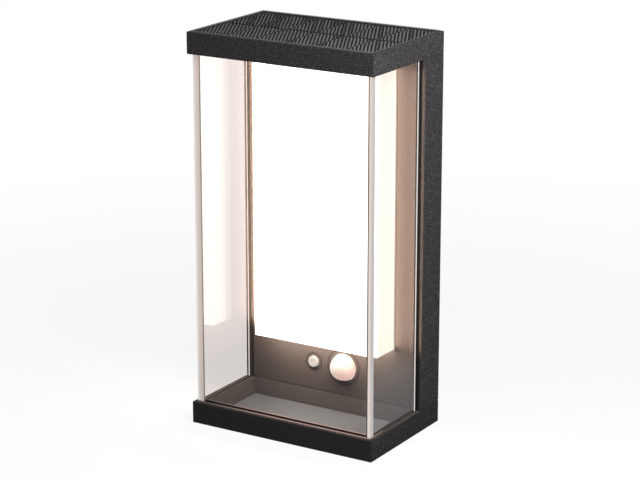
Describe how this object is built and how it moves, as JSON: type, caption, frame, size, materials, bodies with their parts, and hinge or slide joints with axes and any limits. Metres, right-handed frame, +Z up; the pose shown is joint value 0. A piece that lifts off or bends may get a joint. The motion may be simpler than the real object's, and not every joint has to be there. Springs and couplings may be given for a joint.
{
  "type": "solar wall light",
  "caption": "Box-shaped solar wall lantern: panel in the cap, clear U-shaped shade, opal light box, motion sensor dome and push button, on a slim rear housing with a wall bracket.",
  "frame": {"origin": "on the wall plane, midway between the two slotted fixing holes of the wall bracket", "axes": "+X to the right as seen from the front, +Y into the wall, +Z up"},
  "size_m": [0.125, 0.08, 0.24],
  "materials": {
    "charcoal_casting": "fine satin charcoal powder coat on die-cast aluminium",
    "clear_acrylic": "clear polished acrylic",
    "panel_glazing": "clear hard-coated resin",
    "solar_silicon": "dark silicon with fine silver fingers",
    "panel_board": "black fibre board",
    "potting": "black potting resin",
    "black_rubber": "matt black silicone",
    "grey_window": "translucent grey, satin",
    "opal_plastic": "opal white, satin",
    "sensor_plastic": "milky white lens plastic",
    "lamp_board": "white solder mask",
    "led_package": "yellow phosphor in a white package",
    "connector_plastic": "natural nylon",
    "sensor_metal": "nickel plated",
    "switch_plastic": "black moulding",
    "circuit_board": "green solder mask",
    "black_plastic": "fine textured black moulding",
    "battery_sleeve": "plain blue shrink sleeve",
    "lead_sleeve": "black PVC sleeve",
    "zinc_steel": "zinc plated",
    "button_plastic": "satin off-white moulding"
  },
  "bodies": {
    "lamp_body": {"top_cap": "charcoal_casting", "base_tray": "charcoal_casting", "rear_housing": "charcoal_casting", "clear_shade": "clear_acrylic", "solar_cover": "panel_glazing", "solar_cells": "solar_silicon", "solar_backing": "panel_board", "solar_terminal": "potting", "solar_panel_tape": "black_rubber", "shade_lower_gasket": "black_rubber", "shade_upper_gasket": "black_rubber", "shade_side_seals": "black_rubber", "cover_gasket": "black_rubber", "lead_grommet": "black_rubber", "floor_window": "grey_window", "diffuser": "opal_plastic", "sensor_dome": "sensor_plastic", "led_board": "lamp_board", "leds": "led_package", "led_socket": "connector_plastic", "board_sockets": "connector_plastic", "sensor_can": "sensor_metal", "battery_contacts": "sensor_metal", "mode_switch": "switch_plastic", "board_components": "switch_plastic", "control_board": "circuit_board", "rear_cover": "black_plastic", "battery_holder": "black_plastic", "battery_cells": "battery_sleeve", "solar_lead": "lead_sleeve", "led_lead": "lead_sleeve", "battery_lead": "lead_sleeve", "wall_bracket": "zinc_steel", "bracket_studs": "zinc_steel", "cap_screws": "zinc_steel", "base_screws": "zinc_steel", "cover_screws": "zinc_steel", "led_board_screws": "zinc_steel", "board_screws": "zinc_steel"},
    "push_button": {"mode_button": "button_plastic", "switch_plunger": "black_plastic"}
  },
  "joints": [
    {"name": "button_press", "type": "slide", "parent": "lamp_body", "child": "push_button", "axis": [0, 1, 0], "range_m": [0, 0.0008], "stiffness_N_per_m": 500}
  ]
}
